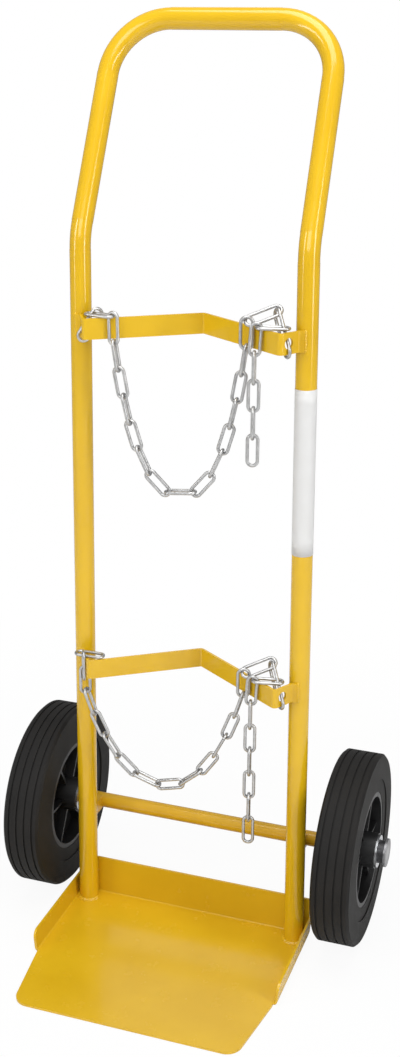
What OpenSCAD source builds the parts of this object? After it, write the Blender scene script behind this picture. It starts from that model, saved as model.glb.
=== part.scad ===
/* [Frame tube] */
// Outside diameter of the frame tube
tube_d = 25.4; // [20:0.1:34]
// Wall of the frame tube
tube_wall = 2; // [1:0.1:4]
// Distance between the tube axes at the toe plate
foot_spacing = 294; // [240:1:380]
// Distance between the tube axes at the shoulder bends
shoulder_spacing = 278; // [230:1:380]
// Distance between the leg axes where they would meet the handle
handle_spacing = 273; // [220:1:380]
// Height of the shoulder bends above the floor
shoulder_height = 908; // [860:1:1100]
// Height of the handle's axis above the floor
handle_height = 1148; // [1080:1:1400]
// How far the handle stands behind the uprights
handle_setback = 118; // [60:1:180]
// Centre line radius of the tube bends
tube_bend_r = 70; // [50:1:90]

/* [Crossbars] */
// Height of the flat strip
strip_h = 25; // [22:0.5:32]
// Thickness of the flat strip
strip_t = 3; // [2:0.1:3.4]
// Centre line radius of the strip's bends
strip_bend_r = 4; // [3:0.1:5]
// Height of the upper crossbar's middle above the floor
upper_bar_z = 805; // [760:1:840]
// Height of the lower crossbar's middle above the floor
lower_bar_z = 367; // [340:1:420]
// How far each knee stands inside the tube axis
knee_inset = 20; // [16:0.5:28]
// How far each knee stands in front of the tube axes
knee_forward = 40; // [34:0.5:46]
// How far the middle of the vee stands behind the tube axes
vee_back = 46; // [20:1:60]
// How far the bend of each pad stands inside the tube axis
pad_inset = 6; // [4:0.5:8]
// How far the end of each pad runs outside the tube axis
pad_reach = 1; // [0.5:0.5:6]
// Diameter of the chain hole in each tab
hole_d = 13; // [12.6:0.1:14]
// Distance of the chain hole from the knee
hole_from_knee = 12; // [11.5:0.1:14]

/* [Toe plate] */
// Thickness of the folded sheet
sheet_t = 3; // [2:0.1:5]
// Width of the tray between its side flanges
tray_w = 323; // [322:1:340]
// Distance from the tube axes to the front edge
plate_front = 243; // [180:1:300]
// Width of the front edge before its corners are rounded
front_w = 289; // [200:1:310]
// Radius of the front corners
front_corner_r = 20; // [6:1:40]
// Distance from the tube axes to the front of the side flanges
flange_front = 137; // [90:1:160]
// Height of the side flanges above the tray
flange_h = 26; // [16:1:40]
// Length of the slanted nose of a side flange
flange_nose = 10; // [4:1:20]
// Height of the back wall above the tray
wall_h = 53; // [40:1:80]
// Inside radius of the folds
fold_r = 2; // [1:0.5:4]

/* [Axle and wheels] */
// Diameter of the axle bar
axle_d = 20; // [16:0.5:22]
// Height of the axle above the floor
axle_z = 128; // [126:0.5:140]
// Distance of the axle behind the tube axes
axle_back = 47; // [44:0.5:60]
// Thickness of the lugs between the uprights and the axle
lug_t = 8; // [4:0.5:12]
// Height of the lugs
lug_h = 18; // [12:0.5:19]
// Outside diameter of the tyres
tyre_d = 250; // [200:1:252]
// Width of the tyres
tyre_w = 50; // [44:1:60]
// Distance between the middles of the wheels
track = 420; // [416:1:480]
// Diameter of the rim that the tyre sits on
rim_d = 150; // [120:1:160]
// Diameter of the opening inside the tyre's bead
bead_d = 138; // [110:1:144]
// How far each edge of the rim lies inside the side of the tyre
rim_inset = 2; // [1:0.5:6]
// Width of the bevel between the tread and each sidewall
shoulder_w = 3; // [1:0.5:8]
// Fall of that bevel
shoulder_drop = 3; // [1:0.5:8]
// Diameter at which each sidewall steps in
step_d = 185; // [166:1:190]
// Depth of that step
step_in = 1.5; // [0.5:0.1:3]
// Number of grooves round the tread
groove_count = 4; // [2:1:5]
// Depth of the tread grooves
groove_depth = 1.6; // [0.8:0.1:3]
// Width of a tread groove
groove_w = 2.4; // [1:0.1:4]
// Outside diameter of the hub barrel
hub_d = 46; // [40:0.5:60]
// Length of the hub barrel
hub_len = 66; // [60:0.5:80]
// Thickness of the rim's web
web_t = 6; // [4:0.5:10]
// Number of ribs on each side of the web
rib_count = 6; // [3:1:10]
// Diameter of the bearing rollers
roller_d = 5; // [4:0.1:6]
// Number of rollers in each bearing
roller_count = 10; // [6:1:12]
// Outside diameter of the thrust washers
washer_d = 42; // [34:0.5:46]
// Thickness of the thrust washers
washer_t = 2.5; // [1.5:0.1:4]
// Outside diameter of the distance bush
bush_d = 30; // [24:0.5:34]
// Length of the distance bush
bush_len = 8; // [4:0.5:14]
// Diameter of the disc that closes the end of the axle
disc_d = 37; // [30:0.5:44]
// Thickness of that disc
disc_t = 3; // [2:0.1:5]

/* [Chains] */
// Diameter of the chain wire
wire_d = 4; // [3.6:0.1:4.2]
// Inside length of a chain link
link_len = 33; // [30:0.5:36]
// Outside width of a chain link
link_w = 16; // [15.6:0.1:17]
// How much longer inside than the strip's height the link at a chain's right end is
end_link_over = 30; // [29:0.5:36]
// How much longer inside than the strip's height the link at the upper chain's left end is
left_link_over = 13.5; // [13:0.5:20]
// Outside width of the larger link
end_link_w = 18; // [17.5:0.1:20]
// Number of links in the upper chain's hanging loop
upper_loop_links = 13; // [11:2:17]
// Number of links in the lower chain's hanging loop
lower_loop_links = 11; // [11:2:15]
// Number of links in the upper chain's loose tail
upper_tail_links = 4; // [1:1:8]
// Number of links in the lower chain's loose tail
lower_tail_links = 6; // [1:1:6]

/* [Hidden] */
$fn = 64;
up = [0, 0, 1];
// Gap left between welded or pressed pieces
seat_gap = 0.1;
// Radial running gap of the wheel bearings
run_gap = 0.05;
// Gap beside a turning piece
side_gap = 0.4;
// Smallest gap between two pieces of chain wire
chain_gap = 0.4;
// Overshoot of a cutting shape
cut = 1;
// How far a bend reaches into the straights at its ends, in degrees
over_bend = 0.5;
// How much thinner the tube's wall is on each side at a bend
tube_thin = 0.2;
// How much thinner strip and sheet are on each side at a fold
fold_thin = 0.05;
// How far the plate's folds stop short of its corners
corner_lap = 1;

tube_r = tube_d / 2;
wire_r = wire_d / 2;
axle_r = axle_d / 2;

// Node to build, or all of them

yellow = [0.9, 0.68, 0.12];
rubber = [0.08, 0.08, 0.08];
dark_plastic = [0.13, 0.13, 0.14];
zinc = [0.75, 0.76, 0.78];
steel = [0.55, 0.56, 0.58];

// Vectors and frames

function unit(v) = v / norm(v);
function across(v, axis) = unit(v - axis * (v * axis));

module place(origin, x, z) {
    y = cross(z, x);
    multmatrix([
        [x[0], y[0], z[0], origin[0]],
        [x[1], y[1], z[1], origin[1]],
        [x[2], y[2], z[2], origin[2]],
        [0, 0, 0, 1]])
        children();
}

module rod(p, q, r) {
    axis = unit(q - p);
    side = abs(axis[2]) > 0.9 ? [1, 0, 0] : up;
    place(p, across(side, axis), axis)
        cylinder(r = r, h = norm(q - p));
}

// Frame tube

tube_path = [
    [-foot_spacing / 2, 0, 0],
    [-shoulder_spacing / 2, 0, shoulder_height],
    [-handle_spacing / 2, handle_setback, handle_height],
    [handle_spacing / 2, handle_setback, handle_height],
    [shoulder_spacing / 2, 0, shoulder_height],
    [foot_spacing / 2, 0, 0]];

function tube_x(z) = foot_spacing / 2 + (shoulder_spacing - foot_spacing) / 2 * z / shoulder_height;

// A bent bar or tube: its path's directions, bends, and the turn of each bend's plane from the last
function dir_of(path, i) = unit(path[i + 1] - path[i]);
function turn(path, i) = i == 0 || i == len(path) - 1 ? 0 : acos(dir_of(path, i - 1) * dir_of(path, i));
function setback(path, i, bend_r) = bend_r * tan(turn(path, i) / 2);
function inward(path, i) = across(dir_of(path, i), dir_of(path, i - 1));
function outward(path, i) = -across(dir_of(path, i - 1), dir_of(path, i));
function plane_turn(path, i) = i == 1 || i == len(path) - 1 ? 0
    : atan2(inward(path, i) * cross(dir_of(path, i - 1), outward(path, i - 1)),
        inward(path, i) * outward(path, i - 1));

// The first child is the section of the straights, the last one the thinner section of the bends
// Each bend reaches a little way into the straights at its ends
module bent_run(path, bend_r, i = 0) {
    length = norm(path[i + 1] - path[i]) - setback(path, i, bend_r) - setback(path, i + 1, bend_r);
    rotate(plane_turn(path, i + 1)) {
        linear_extrude(height = length)
            children(0);
        if (i < len(path) - 2)
            translate([bend_r, 0, length]) {
                place([0, 0, 0], [-1, 0, 0], [0, 1, 0])
                    rotate(-over_bend)
                        rotate_extrude(angle = turn(path, i + 1) + 2 * over_bend)
                            translate([bend_r, 0])
                                children($children - 1);
                rotate([0, turn(path, i + 1), 0])
                    translate([-bend_r, 0, 0])
                        bent_run(path, bend_r, i + 1) {
                            children(0);
                            children($children - 1);
                        }
            }
    }
}

module bent_along(path, bend_r) {
    place(path[0], inward(path, 1), dir_of(path, 0))
        bent_run(path, bend_r) {
            children(0);
            children($children - 1);
        }
}

module tube_section(thin = 0) {
    difference() {
        circle(r = tube_r - thin);
        circle(r = tube_r - tube_wall + thin);
    }
}

module frame_tube() {
    color(yellow)
        difference() {
            bent_along(tube_path, tube_bend_r) {
                tube_section();
                tube_section(tube_thin);
            }
            translate([-foot_spacing, -tube_d, -tube_d])
                cube([2 * foot_spacing, 2 * tube_d, tube_d + sheet_t]);
        }
}

// Crossbars

pad_y = tube_r + seat_gap + strip_t / 2;

function knee(z, s) = [s * (tube_x(z) - knee_inset), -knee_forward, z];
function pad_inner(z, s) = [s * (tube_x(z) - pad_inset), -pad_y, z];
function pad_outer(z, s) = [s * (tube_x(z) + pad_reach), -pad_y, z];
function vertex(z) = [0, vee_back, z];
function tab_dir(z, s) = unit(pad_inner(z, s) - knee(z, s));
function tab_back(z, s) = -s * cross(tab_dir(z, s), up);
function leg_dir(z, s) = unit(vertex(z) - knee(z, s));
function leg_front(z, s) = -s * cross(leg_dir(z, s), up);
function hole(z, s) = knee(z, s) + hole_from_knee * tab_dir(z, s);

module crossbar(z) {
    color(yellow)
        difference() {
            bent_along([pad_outer(z, -1), pad_inner(z, -1), knee(z, -1), vertex(z),
                knee(z, 1), pad_inner(z, 1), pad_outer(z, 1)], strip_bend_r) {
                square([strip_t, strip_h], center = true);
                square([strip_t - 2 * fold_thin, strip_h - 2 * fold_thin], center = true);
            }
            for (s = [-1, 1])
                rod(hole(z, s) - tab_back(z, s) * strip_t,
                    hole(z, s) + tab_back(z, s) * strip_t, hole_d / 2);
        }
}

module upper_crossbar() {
    crossbar(upper_bar_z);
}

module lower_crossbar() {
    crossbar(lower_bar_z);
}

// Toe plate

wall_y = tube_r + seat_gap + fold_r;
fold_y = wall_y - fold_r;
fold_z = sheet_t + fold_r;
tray_edge = tray_w / 2;
fold_x = tray_edge - fold_r;
// Outward lean of the side flanges, in degrees
flange_lean = 5;
flange_back = wall_y + sheet_t - corner_lap;
// Tip of the tray's side edge where the flange stops
shoulder = [fold_x, -flange_front - flange_nose / 2];
front_corner = [front_w / 2, -plate_front];
edge_dir = unit(shoulder - front_corner);
corner_turn = acos(edge_dir * [-1, 0]);
corner_back = front_corner_r / tan(corner_turn / 2);
corner_centre = front_corner + [-corner_back, front_corner_r];

module tray() {
    linear_extrude(height = sheet_t)
        polygon([
            [-fold_x, fold_y],
            [-shoulder[0], shoulder[1]],
            [-front_corner[0] - edge_dir[0] * corner_back, front_corner[1] + edge_dir[1] * corner_back],
            [-front_corner[0] + corner_back, front_corner[1]],
            [front_corner[0] - corner_back, front_corner[1]],
            [front_corner[0] + edge_dir[0] * corner_back, front_corner[1] + edge_dir[1] * corner_back],
            shoulder,
            [fold_x, fold_y]]);
    for (s = [-1, 1])
        translate([s * corner_centre[0], corner_centre[1], 0])
            cylinder(r = front_corner_r, h = sheet_t);
}

module fold(turn, length) {
    rotate(-over_bend)
        rotate_extrude(angle = turn + 2 * over_bend)
            translate([fold_r + fold_thin, 0])
                square([sheet_t - 2 * fold_thin, length]);
}

module back_wall() {
    fold_half = fold_x - corner_lap;
    place([-fold_half, fold_y, fold_z], -up, [1, 0, 0])
        fold(90, 2 * fold_half);
    wall_end = tray_edge + sheet_t - corner_lap;
    translate([-wall_end, wall_y, fold_z])
        cube([2 * wall_end, sheet_t, wall_h - fold_r]);
}

module side_flange(s) {
    outward = [s * cos(flange_lean), 0, -sin(flange_lean)];
    rise = (flange_h - fold_r) / cos(flange_lean);
    fold_end = fold_y - corner_lap;
    place([s * fold_x, s > 0 ? fold_end : -flange_front, fold_z], -up, [0, -s, 0])
        fold(90 - flange_lean, fold_end + flange_front);
    place([s * fold_x, 0, fold_z] + outward * fold_r, [0, s, 0], outward) {
        linear_extrude(height = sheet_t)
            polygon([
                [s * flange_back, 0],
                [-s * flange_front, 0],
                [-s * flange_front, rise - flange_nose],
                [-s * (flange_front - flange_nose), rise],
                [s * flange_back, rise]]);
        translate([-s * (flange_front - flange_nose), rise - flange_nose, 0])
            cylinder(r = flange_nose, h = sheet_t);
    }
}

module toe_plate() {
    color(yellow) {
        tray();
        back_wall();
        side_flange(-1);
        side_flange(1);
    }
}

// Axle and its lugs

axle_at = [0, axle_back, axle_z];
hub_in = track / 2 - hub_len / 2;
hub_out = track / 2 + hub_len / 2;
inner_washer_x = hub_in - side_gap - washer_t;
outer_washer_x = hub_out + side_gap;
bush_x = outer_washer_x + washer_t + seat_gap;
disc_x = bush_x + bush_len + seat_gap;
axle_end = disc_x + disc_t;

module axle() {
    color(yellow)
        rod(axle_at - [axle_end, 0, 0], axle_at + [axle_end, 0, 0], axle_r);
}

module axle_lug(s) {
    x = tube_x(axle_z);
    color(yellow)
        difference() {
            translate([s * x - lug_t / 2, 0, axle_z - lug_h / 2])
                cube([lug_t, axle_back, lug_h]);
            rod([s * tube_x(0), 0, 0], [s * tube_x(2 * axle_z), 0, 2 * axle_z], tube_r + seat_gap);
            rod(axle_at - [axle_end, 0, 0], axle_at + [axle_end, 0, 0], axle_r + seat_gap);
        }
}

module left_axle_lug() {
    axle_lug(-1);
}

module right_axle_lug() {
    axle_lug(1);
}

// Wheels

tyre_r = tyre_d / 2;
rim_r = rim_d / 2;
bead_r = bead_d / 2;
hub_r = hub_d / 2;
rim_w = tyre_w - 2 * rim_inset;
bore_r = axle_r + roller_d + 2 * run_gap;
// Half width of the tread between the bevels
tread_half = tyre_w / 2 - shoulder_w;
step_r = step_d / 2;
groove_pitch = 2 * tread_half / groove_count;

module on_axle(x) {
    place(axle_at + [x, 0, 0], [0, 1, 0], [1, 0, 0])
        children();
}

module ring(outer_r, inner_r, length) {
    difference() {
        cylinder(r = outer_r, h = length);
        translate([0, 0, -cut])
            cylinder(r = inner_r, h = length + 2 * cut);
    }
}

module tyre(s) {
    color(rubber)
        on_axle(s * track / 2)
            difference() {
                rotate_extrude()
                    polygon([
                        [rim_r + seat_gap, -tyre_w / 2 + step_in],
                        [step_r, -tyre_w / 2 + step_in],
                        [step_r, -tyre_w / 2],
                        [tyre_r - shoulder_drop, -tyre_w / 2],
                        [tyre_r, -tread_half],
                        [tyre_r, tread_half],
                        [tyre_r - shoulder_drop, tyre_w / 2],
                        [step_r, tyre_w / 2],
                        [step_r, tyre_w / 2 - step_in],
                        [rim_r + seat_gap, tyre_w / 2 - step_in]]);
                for (i = [0 : groove_count - 1])
                    translate([0, 0, -tread_half + groove_pitch * (i + 0.5) - groove_w / 2])
                        ring(tyre_r + cut, tyre_r - groove_depth, groove_w);
            }
}

module rim(s) {
    color(dark_plastic)
        on_axle(s * track / 2)
            difference() {
                union() {
                    translate([0, 0, -rim_w / 2])
                        ring(rim_r, bead_r, rim_w);
                    translate([0, 0, -web_t / 2])
                        cylinder(r = bead_r + cut, h = web_t);
                    translate([0, 0, -hub_len / 2])
                        cylinder(r = hub_r, h = hub_len);
                    for (i = [0 : rib_count - 1])
                        rotate(i * 360 / rib_count)
                            translate([0, -web_t / 4, -rim_w / 2 + web_t])
                                cube([bead_r + cut, web_t / 2, rim_w - 2 * web_t]);
                }
                translate([0, 0, -hub_len / 2 - cut])
                    cylinder(r = bore_r, h = hub_len + 2 * cut);
            }
}

cage_len = hub_len - 2 * web_t;
// Width of the cage's ring at each end of the rollers
cage_ring = 3;
roller_len = cage_len - 2 * cage_ring - 2 * side_gap;
roller_orbit = axle_r + run_gap + roller_d / 2;
// Radial gap of the cage to the axle and to the bore
cage_gap = 0.8;

module roller_cage(s) {
    color(zinc)
        on_axle(s * track / 2)
            difference() {
                translate([0, 0, -cage_len / 2])
                    ring(bore_r - cage_gap, axle_r + cage_gap, cage_len);
                for (i = [0 : roller_count - 1])
                    rotate(i * 360 / roller_count)
                        translate([roller_orbit, 0, -roller_len / 2 - side_gap])
                            cylinder(d = roller_d + 2 * seat_gap, h = roller_len + 2 * side_gap);
            }
}

module rollers(s) {
    color(steel)
        on_axle(s * track / 2)
            for (i = [0 : roller_count - 1])
                rotate(i * 360 / roller_count)
                    translate([roller_orbit, 0, -roller_len / 2])
                        cylinder(d = roller_d, h = roller_len);
}

// A ring on the axle that starts at distance x from the middle
module axle_ring(s, x, d, length) {
    on_axle(s > 0 ? x : -x - length)
        ring(d / 2, axle_r + seat_gap, length);
}

module left_tyre() {
    tyre(-1);
}

module left_rim() {
    rim(-1);
}

module left_roller_cage() {
    roller_cage(-1);
}

module left_rollers() {
    rollers(-1);
}

module left_inner_washer() {
    color(zinc)
        axle_ring(-1, inner_washer_x, washer_d, washer_t);
}

module left_outer_washer() {
    color(zinc)
        axle_ring(-1, outer_washer_x, washer_d, washer_t);
}

module left_bush() {
    color(steel)
        axle_ring(-1, bush_x, bush_d, bush_len);
}

module left_end_disc() {
    color(steel)
        axle_ring(-1, disc_x, disc_d, disc_t);
}

module right_tyre() {
    tyre(1);
}

module right_rim() {
    rim(1);
}

module right_roller_cage() {
    roller_cage(1);
}

module right_rollers() {
    rollers(1);
}

module right_inner_washer() {
    color(zinc)
        axle_ring(1, inner_washer_x, washer_d, washer_t);
}

module right_outer_washer() {
    color(zinc)
        axle_ring(1, outer_washer_x, washer_d, washer_t);
}

module right_bush() {
    color(steel)
        axle_ring(1, bush_x, bush_d, bush_len);
}

module right_end_disc() {
    color(steel)
        axle_ring(1, disc_x, disc_d, disc_t);
}

// Chain links: a link is [end wire, end wire, width direction, bow radius]

wire_step = wire_d + chain_gap;
link_reach = link_len + wire_d;
end_reach = strip_h + end_link_over + wire_d;
left_reach = strip_h + left_link_over + wire_d;
bow_r = (link_w - wire_d) / 2;
end_bow_r = (end_link_w - wire_d) / 2;

module chain_link(link) {
    axis = unit(link[1] - link[0]);
    width = across(link[2], axis);
    bow = link[3];
    half = norm(link[1] - link[0]) / 2 - bow;
    color(zinc)
        place((link[0] + link[1]) / 2, width, cross(width, axis))
            for (s = [0, 180])
                rotate(s) {
                    translate([0, half, 0])
                        rotate_extrude(angle = 180)
                            translate([bow, 0])
                                circle(r = wire_r);
                    translate([bow, -half, 0])
                        rotate([-90, 0, 0])
                            cylinder(r = wire_r, h = 2 * half);
                }
}

// End link through a tab's hole, round the strip below the hole and up behind it

// Lean of the end link behind the strip and its turn towards the tube, in degrees
end_tilt = 37;
end_yaw = 20;
function end_heading(z, s) = cos(end_yaw) * tab_back(z, s) + sin(end_yaw) * tab_dir(z, s);
function end_dir(z, s) = sin(end_tilt) * end_heading(z, s) + cos(end_tilt) * up;
function end_side(z, s) = cos(end_tilt) * end_heading(z, s) - sin(end_tilt) * up;
end_low = strip_t / 2 * sin(end_tilt) / cos(end_yaw) + strip_h / 2 * cos(end_tilt) + wire_r + chain_gap;
function end_mid(z, s) = hole(z, s) + end_bow_r * end_side(z, s);
function end_link(z, s, reach) = [end_mid(z, s) - end_low * end_dir(z, s),
    end_mid(z, s) + (reach - end_low) * end_dir(z, s), end_side(z, s), end_bow_r];

// Top link from the end link over the strip's top edge, and the hanger it carries in front

function bar_point(z, s, along, front, rise) =
    knee(z, s) + along * leg_dir(z, s) + front * leg_front(z, s) + rise * up;
top_rise = strip_h / 2 + wire_r + chain_gap;
top_front = strip_t / 2 + wire_d + 6 * chain_gap;
hanger_front = strip_t / 2 + link_w / 2 + 3 * chain_gap;
// Middle of the top link's bow, on the end link's upper leg
function top_bow(z, s) = hole(z, s) + top_rise / cos(end_tilt) * end_dir(z, s);
function bow_along(z, s) = (top_bow(z, s) - knee(z, s)) * leg_dir(z, s);
function bow_front(z, s) = (top_bow(z, s) - knee(z, s)) * leg_front(z, s);
function hanger_along(z, s) = bow_along(z, s)
    + sqrt(pow(link_reach - bow_r, 2) - pow(top_front - bow_front(z, s), 2));
function top_end(z, s) = bar_point(z, s, hanger_along(z, s), top_front, top_rise);
function top_axis(z, s) = unit(top_end(z, s) - top_bow(z, s));
function top_link(z, s) =
    [top_bow(z, s) - bow_r * top_axis(z, s), top_end(z, s), cross(top_axis(z, s), up), bow_r];
function hanger_top(z, s) = top_end(z, s) + (wire_step + chain_gap) * up;
function hanger_fall(z, s) = sqrt(pow(link_reach, 2) - pow(hanger_front - top_front, 2));
function hanger_foot(z, s) =
    hanger_top(z, s) + (hanger_front - top_front) * leg_front(z, s) - hanger_fall(z, s) * up;
function hanger(z, s) = [hanger_top(z, s), hanger_foot(z, s), top_axis(z, s), bow_r];

// Sloping link from the end link's top down to the strip's front, and the hanger of the loop's right end

// Turn of the sloping link about its own length, in degrees
slope_roll = 40;
// Place of its upper wire inside the end link's bow, along and across its length
slope_hook = wire_step + 4 * chain_gap;
slope_shift = 1.5;
// Turn of the loop's hanger out of the sloping link's heading, in degrees
hanger_turn = 6;
// How far short of the sloping link's end the hanger sits
hanger_back = 1.5;
// Bow of these two links, a little wider so that their neighbours can turn in them
loop_bow_r = bow_r + wire_r / 2;
// Distance along the strip from the tail's hanger to the loop's
loop_spread = link_w;
function slope_top(z) = end_link(z, 1, end_reach)[1];
loop_front = strip_t / 2 + loop_bow_r + wire_r + 3 * chain_gap;
function slope_foot(z) = bar_point(z, 1, hanger_along(z, 1) + loop_spread, loop_front,
    top_rise + 8 * chain_gap);
function slope_dir(z) = unit(slope_foot(z) - slope_top(z));
function slope_flat(z) = unit(cross(slope_dir(z), up));
function slope_side(z) =
    cos(slope_roll) * slope_flat(z) + sin(slope_roll) * cross(slope_flat(z), slope_dir(z));
function slope_link(z) = [slope_top(z) - slope_hook * slope_dir(z) - slope_shift * slope_side(z),
    slope_foot(z), slope_side(z), loop_bow_r];
function loop_heading(z) = cross(up, slope_flat(z));
function loop_top(z) =
    slope_foot(z) + (wire_step + 5 * chain_gap) * up - hanger_back * loop_heading(z);
function loop_foot(z) = loop_top(z) - link_reach * up;
function loop_hanger(z) = [loop_top(z), loop_foot(z),
    cos(hanger_turn) * loop_heading(z) + sin(hanger_turn) * slope_flat(z), loop_bow_r];
function loop_end(z) = loop_foot(z) + (wire_step + 2 * chain_gap) * up;

// Lower left end: a link hung in the hole, a side link and a top link laid over the tab

// The hung link takes the strip and the side link's wire with three equal gaps
hung_gap = (link_w - 3 * wire_d - strip_t) / 3;
side_front = strip_t / 2 + wire_r + hung_gap;
hung_front = bow_r - side_front;
function hung_top(z) = hole(z, -1) - hung_front * tab_back(z, -1) + (bow_r - hole_d / 2 + chain_gap) * up;
function hung_link(z) = [hung_top(z), hung_top(z) - link_reach * up, tab_back(z, -1), bow_r];
function side_top(z) = hole(z, -1) - side_front * tab_back(z, -1)
    + (strip_h / 2 + wire_r + chain_gap + wire_step) * up;
function side_link(z) = [side_top(z), side_top(z) - link_reach * up, tab_dir(z, -1), bow_r];
// The top link lies across the tab, its front leg through the side link
function laid_mid(z) = side_top(z) - wire_step * up + [bow_r, bow_r, 0];
function laid_link(z) =
    [laid_mid(z) - [link_reach / 2, 0, 0], laid_mid(z) + [link_reach / 2, 0, 0], [0, 1, 0], bow_r];

// Hanging loops: the slope of each link grows evenly along the chain

upper_start = hanger_foot(upper_bar_z, -1) + (wire_step + chain_gap) * up;
lower_start = hung_link(lower_bar_z)[1] + (wire_step + 2 * chain_gap) * up;

function sum(v, i = 0) = i < len(v) ? v[i] + sum(v, i + 1) : 0;
function slope(pull, low, k) = atan(pull * (k - low));
// A link that stands across the loop ends on its joint, one in the loop's plane runs past it
function lap(k) = k % 2 == 0 ? 0 : wire_step;
function run(k) = link_reach - 2 * lap(k);
function loop_width(pull, low, n) = sum([for (k = [0 : n - 1]) run(k) * cos(slope(pull, low, k))]);
function loop_rise(pull, low, n) = sum([for (k = [0 : n - 1]) run(k) * sin(slope(pull, low, k))]);
function find_low(pull, n, rise, a, b, tries) = tries == 0 ? (a + b) / 2
    : loop_rise(pull, (a + b) / 2, n) > rise ? find_low(pull, n, rise, (a + b) / 2, b, tries - 1)
    : find_low(pull, n, rise, a, (a + b) / 2, tries - 1);
function low_link(pull, n, rise) = find_low(pull, n, rise, 0, n, 30);
function find_pull(n, width, rise, a, b, tries) = tries == 0 ? (a + b) / 2
    : loop_width((a + b) / 2, low_link((a + b) / 2, n, rise), n) > width
    ? find_pull(n, width, rise, (a + b) / 2, b, tries - 1)
    : find_pull(n, width, rise, a, (a + b) / 2, tries - 1);

module hanging_loop(from, to, n) {
    level = [to[0] - from[0], to[1] - from[1], 0];
    ahead = unit(level);
    aside = cross(up, ahead);
    rise = to[2] - from[2];
    pull = find_pull(n, norm(level), rise, 0, 10, 30);
    low = low_link(pull, n, rise);
    dirs = [for (k = [0 : n - 1]) cos(slope(pull, low, k)) * ahead + sin(slope(pull, low, k)) * up];
    for (k = [0 : n - 1]) {
        start = from + (k == 0 ? [0, 0, 0] : sum3([for (i = [0 : k - 1]) run(i) * dirs[i]]))
            - lap(k) * dirs[k];
        chain_link([start, start + link_reach * dirs[k],
            k % 2 == 0 ? aside : cross(dirs[k], aside), bow_r]);
    }
}

function sum3(v) = [for (j = [0 : 2]) sum([for (p = v) p[j]])];

module hanging_tail(z, n) {
    for (k = [0 : n - 1]) {
        top = hanger_foot(z, 1) + (wire_step - k * (link_reach - wire_step)) * up;
        chain_link([top, top - link_reach * up,
            k % 2 == 0 ? cross(top_axis(z, 1), up) : top_axis(z, 1), bow_r]);
    }
}

module upper_left_end_link() {
    chain_link(end_link(upper_bar_z, -1, left_reach));
}

module upper_left_top_link() {
    chain_link(top_link(upper_bar_z, -1));
}

module upper_left_hanger() {
    chain_link(hanger(upper_bar_z, -1));
}

module upper_right_end_link() {
    chain_link(end_link(upper_bar_z, 1, end_reach));
}

module upper_right_slope_link() {
    chain_link(slope_link(upper_bar_z));
}

module upper_right_hanger() {
    chain_link(loop_hanger(upper_bar_z));
}

module upper_tail_top_link() {
    chain_link(top_link(upper_bar_z, 1));
}

module upper_tail_hanger() {
    chain_link(hanger(upper_bar_z, 1));
}

module upper_loop() {
    hanging_loop(upper_start, loop_end(upper_bar_z), upper_loop_links);
}

module upper_tail() {
    hanging_tail(upper_bar_z, upper_tail_links);
}

module lower_left_end_link() {
    chain_link(hung_link(lower_bar_z));
}

module lower_left_side_link() {
    chain_link(side_link(lower_bar_z));
}

module lower_left_top_link() {
    chain_link(laid_link(lower_bar_z));
}

module lower_right_end_link() {
    chain_link(end_link(lower_bar_z, 1, end_reach));
}

module lower_right_slope_link() {
    chain_link(slope_link(lower_bar_z));
}

module lower_right_hanger() {
    chain_link(loop_hanger(lower_bar_z));
}

module lower_tail_top_link() {
    chain_link(top_link(lower_bar_z, 1));
}

module lower_tail_hanger() {
    chain_link(hanger(lower_bar_z, 1));
}

module lower_loop() {
    hanging_loop(lower_start, loop_end(lower_bar_z), lower_loop_links);
}

module lower_tail() {
    hanging_tail(lower_bar_z, lower_tail_links);
}

frame_tube();
upper_crossbar();
lower_crossbar();
toe_plate();
left_axle_lug();
right_axle_lug();
axle();
left_tyre();
left_rim();
left_roller_cage();
left_rollers();
left_inner_washer();
left_outer_washer();
left_bush();
left_end_disc();
right_tyre();
right_rim();
right_roller_cage();
right_rollers();
right_inner_washer();
right_outer_washer();
right_bush();
right_end_disc();
upper_left_end_link();
upper_left_top_link();
upper_left_hanger();
upper_right_end_link();
upper_right_slope_link();
upper_right_hanger();
upper_tail_top_link();
upper_tail_hanger();
upper_loop();
upper_tail();
lower_left_end_link();
lower_left_side_link();
lower_left_top_link();
lower_right_end_link();
lower_right_slope_link();
lower_right_hanger();
lower_tail_top_link();
lower_tail_hanger();
lower_loop();
lower_tail();
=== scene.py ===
import math

import bmesh
import bpy
from mathutils import Matrix, Vector


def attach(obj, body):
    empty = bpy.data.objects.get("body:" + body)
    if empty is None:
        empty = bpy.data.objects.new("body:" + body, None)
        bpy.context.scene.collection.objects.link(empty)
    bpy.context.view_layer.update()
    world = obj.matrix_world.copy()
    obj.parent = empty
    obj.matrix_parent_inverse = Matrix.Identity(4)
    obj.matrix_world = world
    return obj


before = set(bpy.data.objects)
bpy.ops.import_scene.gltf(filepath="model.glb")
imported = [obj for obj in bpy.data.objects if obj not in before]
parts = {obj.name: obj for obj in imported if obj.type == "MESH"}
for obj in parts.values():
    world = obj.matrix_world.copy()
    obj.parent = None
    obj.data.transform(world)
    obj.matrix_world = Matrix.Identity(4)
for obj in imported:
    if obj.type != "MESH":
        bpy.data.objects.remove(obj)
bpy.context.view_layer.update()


# Frame tube
# One length of round steel tube, bent at the shoulders and over the handle.
# It is powder coated in glossy yellow after welding, like all the painted steel here.

def add_node(tree, kind, **values):
    made = tree.nodes.new(kind)
    for key, value in values.items():
        if hasattr(made, key):
            setattr(made, key, value)
        else:
            made.inputs[key].default_value = value
    return made


def add_place(tree, shift=(0, 0, 0)):
    coord = add_node(tree, "ShaderNodeTexCoord")
    moved = add_node(tree, "ShaderNodeMapping", Location=shift)
    tree.links.new(coord.outputs["Object"], moved.inputs["Vector"])
    return moved.outputs["Vector"]


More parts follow.
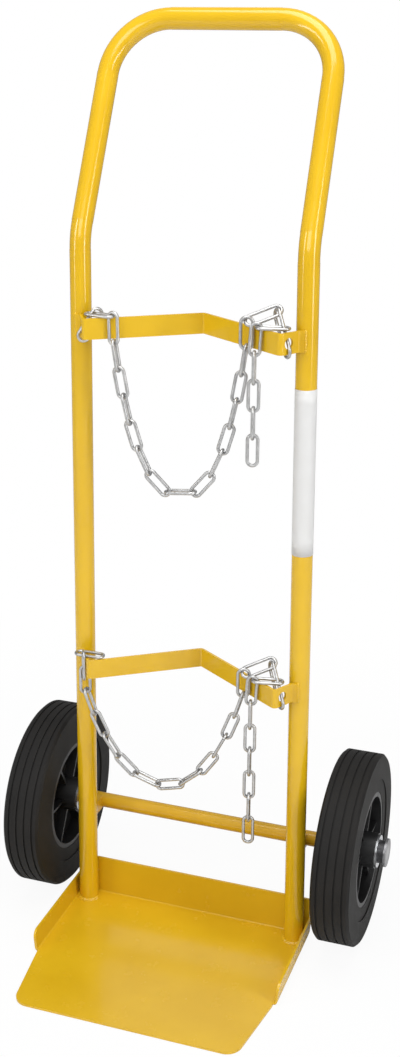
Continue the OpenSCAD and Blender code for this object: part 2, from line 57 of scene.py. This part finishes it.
def add_noise(tree, place, scale, detail, roughness=0.5):
    made = add_node(tree, "ShaderNodeTexNoise", Scale=scale, Detail=detail, Roughness=roughness)
    tree.links.new(place, made.inputs["Vector"])
    return made.outputs["Fac"]


def add_ramp(tree, source, low, high, ends=(0.0, 1.0)):
    made = add_node(tree, "ShaderNodeValToRGB")
    for stop, position, colour in zip(made.color_ramp.elements, ends, (low, high)):
        stop.position = position
        stop.color = (*colour, 1)
    tree.links.new(source, made.inputs["Fac"])
    return made.outputs["Color"]


def add_range(tree, source, result, given=(0.0, 1.0), **values):
    made = add_node(tree, "ShaderNodeMapRange", **values)
    for word, (low, high) in (("From", given), ("To", result)):
        made.inputs[f"{word} Min"].default_value = low
        made.inputs[f"{word} Max"].default_value = high
    tree.links.new(source, made.inputs["Value"])
    return made.outputs["Result"]


def add_relief(tree, skin, height, strength, distance):
    made = add_node(tree, "ShaderNodeBump", Strength=strength, Distance=distance)
    tree.links.new(height, made.inputs["Height"])
    tree.links.new(made.outputs["Normal"], skin.inputs["Normal"])


def blank_material(name):
    made = bpy.data.materials.new(name)
    made.use_nodes = True
    return made, made.node_tree, made.node_tree.nodes["Principled BSDF"]


def yellow_coat(name, light, deep, shift, gloss):
    made, tree, skin = blank_material(name)
    place = add_place(tree, shift)
    # slow change of coat thickness along the steel
    thickness = add_noise(tree, place, scale=9.0, detail=4.0, roughness=0.55)
    tint = add_ramp(tree, thickness, deep, light, ends=(0.36, 0.62))
    # dust specks caught in the coat
    cells = add_node(tree, "ShaderNodeTexVoronoi", Scale=170.0)
    tree.links.new(place, cells.inputs["Vector"])
    specks = add_range(tree, cells.outputs["Distance"], result=(0.88, 1.0), given=(0.03, 0.09))
    dotted = add_node(tree, "ShaderNodeMix", data_type="RGBA", blend_type="MULTIPLY")
    dotted.inputs["Factor"].default_value = 1.0
    tree.links.new(tint, dotted.inputs["A"])
    tree.links.new(specks, dotted.inputs["B"])
    tree.links.new(dotted.outputs["Result"], skin.inputs["Base Color"])
    # handling marks change the gloss
    rub = add_noise(tree, place, scale=38.0, detail=6.0, roughness=0.6)
    tree.links.new(add_range(tree, rub, result=gloss), skin.inputs["Roughness"])
    # orange peel of the baked powder
    peel = add_noise(tree, place, scale=520.0, detail=2.0)
    add_relief(tree, skin, peel, strength=0.12, distance=0.0004)
    skin.inputs["Specular IOR Level"].default_value = 0.5
    skin.inputs["Coat Weight"].default_value = 0.2
    skin.inputs["Coat Roughness"].default_value = 0.1
    return made


def paint(name, coat):
    for slot in parts[name].material_slots:
        slot.material = coat


tube_yellow = yellow_coat("tube_yellow", light=(0.73, 0.45, 0.009), deep=(0.68, 0.41, 0.006),
                          shift=(0, 0, 0), gloss=(0.13, 0.2))
paint("frame_tube", tube_yellow)


# Blank wrap on the right upright
# A strip of white film wound round the tube at chest height, stuck on after painting.
# Its long edges meet behind the tube, and its corners are square.

tube_radius, film_lift, film_thickness = 0.0127, 0.00018, 0.00012
wrap_low, wrap_high = 0.545, 0.748
wrap_rows, wrap_columns = 12, 88
wrap_turn, wrap_seam = math.radians(352), math.radians(94)
upright_foot = Vector((0.147, 0, 0))
upright_shoulder = Vector((0.139, 0, 0.908))
upright_way = (upright_shoulder - upright_foot).normalized()
upright_lean = math.atan2(upright_way.x, upright_way.z)


def on_upright(z, side=1):
    spot = upright_foot + upright_way * (z / upright_way.z)
    return Vector((side * spot.x, spot.y, z))


film = bmesh.new()
edge = []
for i in range(wrap_rows + 1):
    z = wrap_low + (wrap_high - wrap_low) * i / wrap_rows
    edge.append(film.verts.new((tube_radius + film_lift, 0, z)))
strand = [film.edges.new(pair) for pair in zip(edge, edge[1:])]
bmesh.ops.spin(film, geom=edge + strand, cent=(0, 0, 0), axis=(0, 0, 1), angle=wrap_turn,
               steps=wrap_columns)
bmesh.ops.rotate(film, verts=film.verts, cent=(0, 0, 0),
                 matrix=Matrix.Rotation(wrap_seam, 3, "Z"))
wrap_middle = (wrap_low + wrap_high) / 2
bmesh.ops.translate(film, verts=film.verts, vec=(0, 0, -wrap_middle))
bmesh.ops.rotate(film, verts=film.verts, cent=(0, 0, 0),
                 matrix=Matrix.Rotation(upright_lean, 3, "Y"))
bmesh.ops.translate(film, verts=film.verts, vec=on_upright(wrap_middle))
bmesh.ops.recalc_face_normals(film, faces=film.faces)


def finish_piece(shape, name, material, body):
    mesh = bpy.data.meshes.new(name)
    shape.to_mesh(mesh)
    shape.free()
    for face in mesh.polygons:
        face.use_smooth = True
    mesh.materials.append(material)
    piece = bpy.data.objects.new(name, mesh)
    bpy.context.scene.collection.objects.link(piece)
    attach(piece, body)
    return piece


white_film, tree, skin = blank_material("white_film")
place = add_place(tree)
ageing = add_noise(tree, place, scale=24.0, detail=3.0)
shade = add_ramp(tree, ageing, low=(0.64, 0.635, 0.62), high=(0.72, 0.72, 0.72))
tree.links.new(shade, skin.inputs["Base Color"])
wrinkle = add_noise(tree, place, scale=60.0, detail=2.0)
add_relief(tree, skin, wrinkle, strength=0.1, distance=0.0003)
skin.inputs["Roughness"].default_value = 0.35
wrap = finish_piece(film, "blank_wrap", white_film, "frame")
thick = wrap.modifiers.new("film", "SOLIDIFY")
thick.thickness = film_thickness
thick.offset = 1


# Crossbars
# Two flat steel strips, cold bent to a shallow V with a tab at each end, punched for the chain.
# They are welded to the front of the uprights and coated with them.

bar_yellow = yellow_coat("bar_yellow", light=(0.73, 0.45, 0.010), deep=(0.67, 0.40, 0.007),
                         shift=(3, 1, 2), gloss=(0.16, 0.26))
for name in ("upper_crossbar", "lower_crossbar"):
    paint(name, bar_yellow)


def weld_bead(name, line, width, height, coat):
    bead = bmesh.new()
    for i, (spot, outward) in enumerate(line):
        drop = bmesh.ops.create_icosphere(bead, subdivisions=2, radius=1.0)["verts"]
        # each drop of the bead is a little larger or smaller than the last
        swell = 1 + 0.1 * math.sin(2.4 * i)
        bmesh.ops.scale(bead, verts=drop, vec=(width * swell, width * swell, height * swell))
        turn = Vector((0, 0, 1)).rotation_difference(outward).to_matrix()
        bmesh.ops.rotate(bead, verts=drop, cent=(0, 0, 0), matrix=turn)
        bmesh.ops.translate(bead, verts=drop, vec=spot)
    finish_piece(bead, name, coat, "frame")


def straight_line(low, step, drops, side, seat, outward):
    line = []
    for i in range(drops):
        spot = on_upright(low + step * i, side) + Vector((side * seat[0], seat[1], 0))
        line.append((spot, Vector((side * outward[0], outward[1], 0)).normalized()))
    return line


bar_half_weld = 0.0117
for bar, middle in (("upper", 0.805), ("lower", 0.367)):
    for side, word in ((-1, "left"), (1, "right")):
        line = straight_line(low=middle - bar_half_weld, step=0.0013, drops=19, side=side,
                             seat=(0.0016, -0.0128), outward=(0.7, -0.7))
        weld_bead(f"{bar}_{word}_end_weld", line, width=0.0022, height=0.0019, coat=bar_yellow)


# Toe plate
# Steel sheet folded up at the back into a wall and at the sides into low flanges.
# The uprights stand on it and are welded at the front of each foot and to the wall. Its yellow
# is set a little darker than the frame's, as painted shade.

# a slightly darker copy of the frame's yellow: painted shade on the plate and its wall
shaded_plate_yellow = yellow_coat("shaded_plate_yellow", light=(0.70, 0.43, 0.011), deep=(0.65, 0.39, 0.008),
                           shift=(5, 2, 7), gloss=(0.2, 0.32))
paint("toe_plate", shaded_plate_yellow)
plate_top, foot_weld_radius, foot_drops = 0.003, 0.0138, 24
for side, word in ((-1, "left"), (1, "right")):
    foot = on_upright(plate_top, side)
    line = []
    for i in range(foot_drops):
        bearing = math.radians(-170 + 160 * i / (foot_drops - 1))
        out = Vector((math.cos(bearing), math.sin(bearing), 0))
        line.append((foot + out * foot_weld_radius, (out + Vector((0, 0, 1))).normalized()))
    # the foot and wall welds take the plate's darker yellow, painted shade with it
    weld_bead(f"{word}_foot_weld", line, width=0.0032, height=0.0025, coat=shaded_plate_yellow)
    line = straight_line(low=0.006, step=0.0018, drops=26, side=side,
                         seat=(-0.0072, 0.0118), outward=(-0.6, -0.8))
    weld_bead(f"{word}_wall_weld", line, width=0.0022, height=0.0016, coat=shaded_plate_yellow)


# Axle and its lugs
# A solid round bar held behind the uprights in two welded lugs, coated with the frame; its
# yellow is set darker than the frame's as painted shade for its place behind the uprights.
# The wheels run on its bare ends.

# a darker copy of the frame's yellow: painted shade, as the axle and lugs sit behind the
# uprights
shaded_axle_yellow = yellow_coat("shaded_axle_yellow", light=(0.68, 0.39, 0.009), deep=(0.61, 0.34, 0.006),
                          shift=(8, 4, 1), gloss=(0.24, 0.38))
for name in ("left_axle_lug", "right_axle_lug"):
    paint(name, shaded_axle_yellow)
# the painted part of the axle keeps that darker yellow, painted shade with it
shaded_axle_coat = shaded_axle_yellow.copy()
shaded_axle_coat.name = "shaded_axle_coat"
tree = shaded_axle_coat.node_tree
skin = tree.nodes["Principled BSDF"]
painted = skin.inputs["Base Color"].links[0].from_socket
# the coat stops at each inner washer
split = add_node(tree, "ShaderNodeSeparateXYZ")
reach = add_node(tree, "ShaderNodeMath", operation="ABSOLUTE")
tree.links.new(add_place(tree), split.inputs["Vector"])
tree.links.new(split.outputs["X"], reach.inputs[0])
bare = add_range(tree, reach.outputs["Value"], result=(0.0, 1.0), given=(0.1735, 0.1745))
turned = add_node(tree, "ShaderNodeMix", data_type="RGBA")
turned.inputs["B"].default_value = (0.34, 0.34, 0.35, 1)
tree.links.new(bare, turned.inputs["Factor"])
tree.links.new(painted, turned.inputs["A"])
tree.links.new(turned.outputs["Result"], skin.inputs["Base Color"])
tree.links.new(bare, skin.inputs["Metallic"])
paint("axle", shaded_axle_coat)


# Tyres
# Solid black rubber, moulded with ring grooves in the tread and a stepped sidewall.
# They are stretched over the rims.

def tyre_rubber(name, middle):
    made, tree, skin = blank_material(name)
    place = add_place(tree, [-v for v in middle])
    # fine turning rings left by the mould, by the distance from the axle
    ring_pitch = 0.0022
    split = add_node(tree, "ShaderNodeSeparateXYZ")
    flat = add_node(tree, "ShaderNodeCombineXYZ")
    out = add_node(tree, "ShaderNodeVectorMath", operation="LENGTH")
    rings = add_node(tree, "ShaderNodeMath", operation="MULTIPLY")
    rings.inputs[1].default_value = 2 * math.pi / ring_pitch
    wave = add_node(tree, "ShaderNodeMath", operation="SINE")
    tree.links.new(place, split.inputs["Vector"])
    for axis in ("Y", "Z"):
        tree.links.new(split.outputs[axis], flat.inputs[axis])
    tree.links.new(flat.outputs["Vector"], out.inputs[0])
    tree.links.new(out.outputs["Value"], rings.inputs[0])
    tree.links.new(rings.outputs["Value"], wave.inputs[0])
    # dust and bloom on the rubber
    dust = add_noise(tree, place, scale=26.0, detail=7.0, roughness=0.65)
    tint = add_ramp(tree, dust, low=(0.0050, 0.0045, 0.0040), high=(0.0125, 0.0112, 0.0100),
                    ends=(0.35, 0.72))
    tree.links.new(tint, skin.inputs["Base Color"])
    tree.links.new(add_range(tree, dust, result=(0.55, 0.8)), skin.inputs["Roughness"])
    # the rings and a fine grain raise the surface together
    grain = add_noise(tree, place, scale=700.0, detail=2.0)
    both = add_node(tree, "ShaderNodeMath", operation="MULTIPLY_ADD")
    both.inputs[1].default_value = 0.25
    tree.links.new(wave.outputs["Value"], both.inputs[0])
    tree.links.new(grain, both.inputs[2])
    add_relief(tree, skin, both.outputs["Value"], strength=0.25, distance=0.0005)
    skin.inputs["Specular IOR Level"].default_value = 0.3
    return made


wheel_x, wheel_y, wheel_z = 0.21, 0.047, 0.128
for side, word in ((-1, "left"), (1, "right")):
    rubber = tyre_rubber(f"{word}_tyre_rubber", (side * wheel_x, wheel_y, wheel_z))
    paint(f"{word}_tyre", rubber)


# Rims and bearing cages
# Black moulded nylon: a dished web with ribs between the hub and the bead seat.
# The cages hold the bearing rollers inside the hubs.

def black_nylon(name, shift, tone):
    made, tree, skin = blank_material(name)
    place = add_place(tree, shift)
    # flow marks of the moulding
    flow = add_noise(tree, place, scale=34.0, detail=5.0)
    tint = add_ramp(tree, flow, low=(tone * 0.7, tone * 0.7, tone * 0.72),
                    high=(tone * 1.4, tone * 1.4, tone * 1.45))
    tree.links.new(tint, skin.inputs["Base Color"])
    tree.links.new(add_range(tree, flow, result=(0.32, 0.52)), skin.inputs["Roughness"])
    grain = add_noise(tree, place, scale=1100.0, detail=2.0)
    add_relief(tree, skin, grain, strength=0.16, distance=0.0003)
    return made


rim_nylon = black_nylon("rim_nylon", shift=(2, 6, 3), tone=0.010)
cage_nylon = black_nylon("cage_nylon", shift=(7, 1, 5), tone=0.035)
for word in ("left", "right"):
    paint(f"{word}_rim", rim_nylon)
    paint(f"{word}_roller_cage", cage_nylon)


# Washers, bushes, end discs and rollers
# Steel on the axle ends: zinc-plated washers, dark bushes, plain end discs, ground rollers.
# Stains and fine scratches break up the shine.

def worked_steel(name, tone, gloss, shift):
    made, tree, skin = blank_material(name)
    place = add_place(tree, shift)
    stain = add_noise(tree, place, scale=90.0, detail=5.0, roughness=0.6)
    tint = add_ramp(tree, stain, low=[v * 0.72 for v in tone], high=tone, ends=(0.3, 0.7))
    tree.links.new(tint, skin.inputs["Base Color"])
    tree.links.new(add_range(tree, stain, result=gloss), skin.inputs["Roughness"])
    scratch = add_noise(tree, place, scale=900.0, detail=3.0)
    add_relief(tree, skin, scratch, strength=0.15, distance=0.0002)
    skin.inputs["Metallic"].default_value = 1.0
    return made


washer_zinc = worked_steel("washer_zinc", tone=(0.70, 0.71, 0.73), gloss=(0.2, 0.4),
                           shift=(0, 0, 0))
bush_steel = worked_steel("bush_steel", tone=(0.10, 0.10, 0.105), gloss=(0.35, 0.55),
                          shift=(1, 0, 4))
disc_steel = worked_steel("disc_steel", tone=(0.36, 0.36, 0.37), gloss=(0.3, 0.5),
                          shift=(4, 2, 0))
roller_steel = worked_steel("roller_steel", tone=(0.62, 0.62, 0.64), gloss=(0.15, 0.3),
                            shift=(6, 3, 3))
for word in ("left", "right"):
    paint(f"{word}_inner_washer", washer_zinc)
    paint(f"{word}_outer_washer", washer_zinc)
    paint(f"{word}_bush", bush_steel)
    paint(f"{word}_end_disc", disc_steel)
    paint(f"{word}_rollers", roller_steel)


# Chains
# Welded link chain of 4 mm wire, bright zinc plated.
# Each chain starts at the left tab, hangs in a loop and is hooked over the bar at the right.

chain_zinc = worked_steel("chain_zinc", tone=(0.62, 0.62, 0.62), gloss=(0.3, 0.5),
                          shift=(2, 8, 6))
for name in parts:
    if name.endswith(("_link", "_hanger", "_loop", "_tail")):
        paint(name, chain_zinc)


# Studio
# A pale floor, white surroundings, five soft lamps, and the camera at the photograph's place.
# Nothing here belongs to the trolley.

def share_seen(tree):
    # one for rays that the camera sees straight or through glass, otherwise nought
    rays = add_node(tree, "ShaderNodeLightPath")
    seen = add_node(tree, "ShaderNodeMath", operation="MAXIMUM")
    tree.links.new(rays.outputs["Is Camera Ray"], seen.inputs[0])
    tree.links.new(rays.outputs["Is Transmission Ray"], seen.inputs[1])
    return seen.outputs["Value"]


floor_half, floor_drop = 30, 0.0006
floor_shape = bmesh.new()
bmesh.ops.create_grid(floor_shape, x_segments=1, y_segments=1, size=floor_half)
bmesh.ops.translate(floor_shape, verts=floor_shape.verts, vec=(0, 0, -floor_drop))
floor_mesh = bpy.data.meshes.new("studio_floor")
floor_shape.to_mesh(floor_mesh)
floor_shape.free()
pale_floor, tree, skin = blank_material("pale_floor")
skin.inputs["Base Color"].default_value = (0.85, 0.85, 0.85, 1)
skin.inputs["Roughness"].default_value = 0.9
# the floor turns to plain white away from the trolley
far = add_node(tree, "ShaderNodeVectorMath", operation="LENGTH")
tree.links.new(add_place(tree), far.inputs[0])
fade = add_range(tree, far.outputs["Value"], result=(0.93, 1.0), given=(0.35, 1.1),
                 interpolation_type="SMOOTHSTEP")
share = add_node(tree, "ShaderNodeMath", operation="MULTIPLY")
plain_white = add_node(tree, "ShaderNodeEmission", Color=(1, 1, 1, 1), Strength=1.0)
blend = add_node(tree, "ShaderNodeMixShader")
tree.links.new(share_seen(tree), share.inputs[0])
tree.links.new(fade, share.inputs[1])
tree.links.new(share.outputs["Value"], blend.inputs["Fac"])
tree.links.new(skin.outputs["BSDF"], blend.inputs[1])
tree.links.new(plain_white.outputs["Emission"], blend.inputs[2])
tree.links.new(blend.outputs["Shader"], tree.nodes["Material Output"].inputs["Surface"])
floor_mesh.materials.append(pale_floor)
floor = bpy.data.objects.new("studio_floor", floor_mesh)
bpy.context.scene.collection.objects.link(floor)

world = bpy.data.worlds.new("studio")
bpy.context.scene.world = world
world.use_nodes = True
tree = world.node_tree
around = tree.nodes["Background"]
around.inputs["Color"].default_value = (1, 1, 1, 1)
around.inputs["Strength"].default_value = 0.32
shown = add_node(tree, "ShaderNodeBackground", Color=(1, 1, 1, 1), Strength=1.0)
blend = add_node(tree, "ShaderNodeMixShader")
tree.links.new(share_seen(tree), blend.inputs["Fac"])
tree.links.new(around.outputs["Background"], blend.inputs[1])
tree.links.new(shown.outputs["Background"], blend.inputs[2])
tree.links.new(blend.outputs["Shader"], tree.nodes["World Output"].inputs["Surface"])

for name, place, aim, width, height, power in (
        ("left_strip", (-1.8, -1.9, 1.4), (0, 0, 0.6), 0.24, 2.2, 18),
        ("right_strip", (2.5, -0.9, 1.3), (0, 0, 0.6), 0.42, 2.2, 28),
        ("front", (0.4, -2.7, 2.3), (0, 0, 0.5), 1.6, 1.6, 29),
        ("back", (-0.6, 2.6, 2.0), (0, 0, 0.6), 1.4, 1.4, 4),
        ("top", (0.2, -0.4, 3.1), (0, 0, 0.4), 1.8, 1.8, 46)):
    lamp = bpy.data.lights.new(name, "AREA")
    lamp.shape = "RECTANGLE"
    lamp.size = width
    lamp.size_y = height
    lamp.energy = power
    holder = bpy.data.objects.new(name, lamp)
    holder.location = place
    holder.rotation_euler = (Vector(aim) - Vector(place)).to_track_quat("-Z", "Y").to_euler()
    bpy.context.scene.collection.objects.link(holder)

camera_place = (0.55116, -1.55496, 1.14601)
azimuth, elevation, roll = math.radians(19.112), math.radians(19.568), math.radians(0.371)
ahead = Vector((-math.sin(azimuth) * math.cos(elevation),
                math.cos(azimuth) * math.cos(elevation),
                -math.sin(elevation)))
level = Vector((math.cos(azimuth), math.sin(azimuth), 0))
upward = level.cross(ahead)
across = math.cos(roll) * level + math.sin(roll) * upward
above = -math.sin(roll) * level + math.cos(roll) * upward
lens = bpy.data.cameras.new("photo_camera")
lens.lens = 48.69
lens.sensor_width = 36
lens.sensor_fit = "AUTO"
camera = bpy.data.objects.new("photo_camera", lens)
camera_turn = Matrix((across, above, -ahead)).transposed().to_4x4()
camera.matrix_world = Matrix.Translation(camera_place) @ camera_turn
bpy.context.scene.collection.objects.link(camera)
bpy.context.scene.camera = camera
bpy.context.scene.view_settings.view_transform = "Standard"
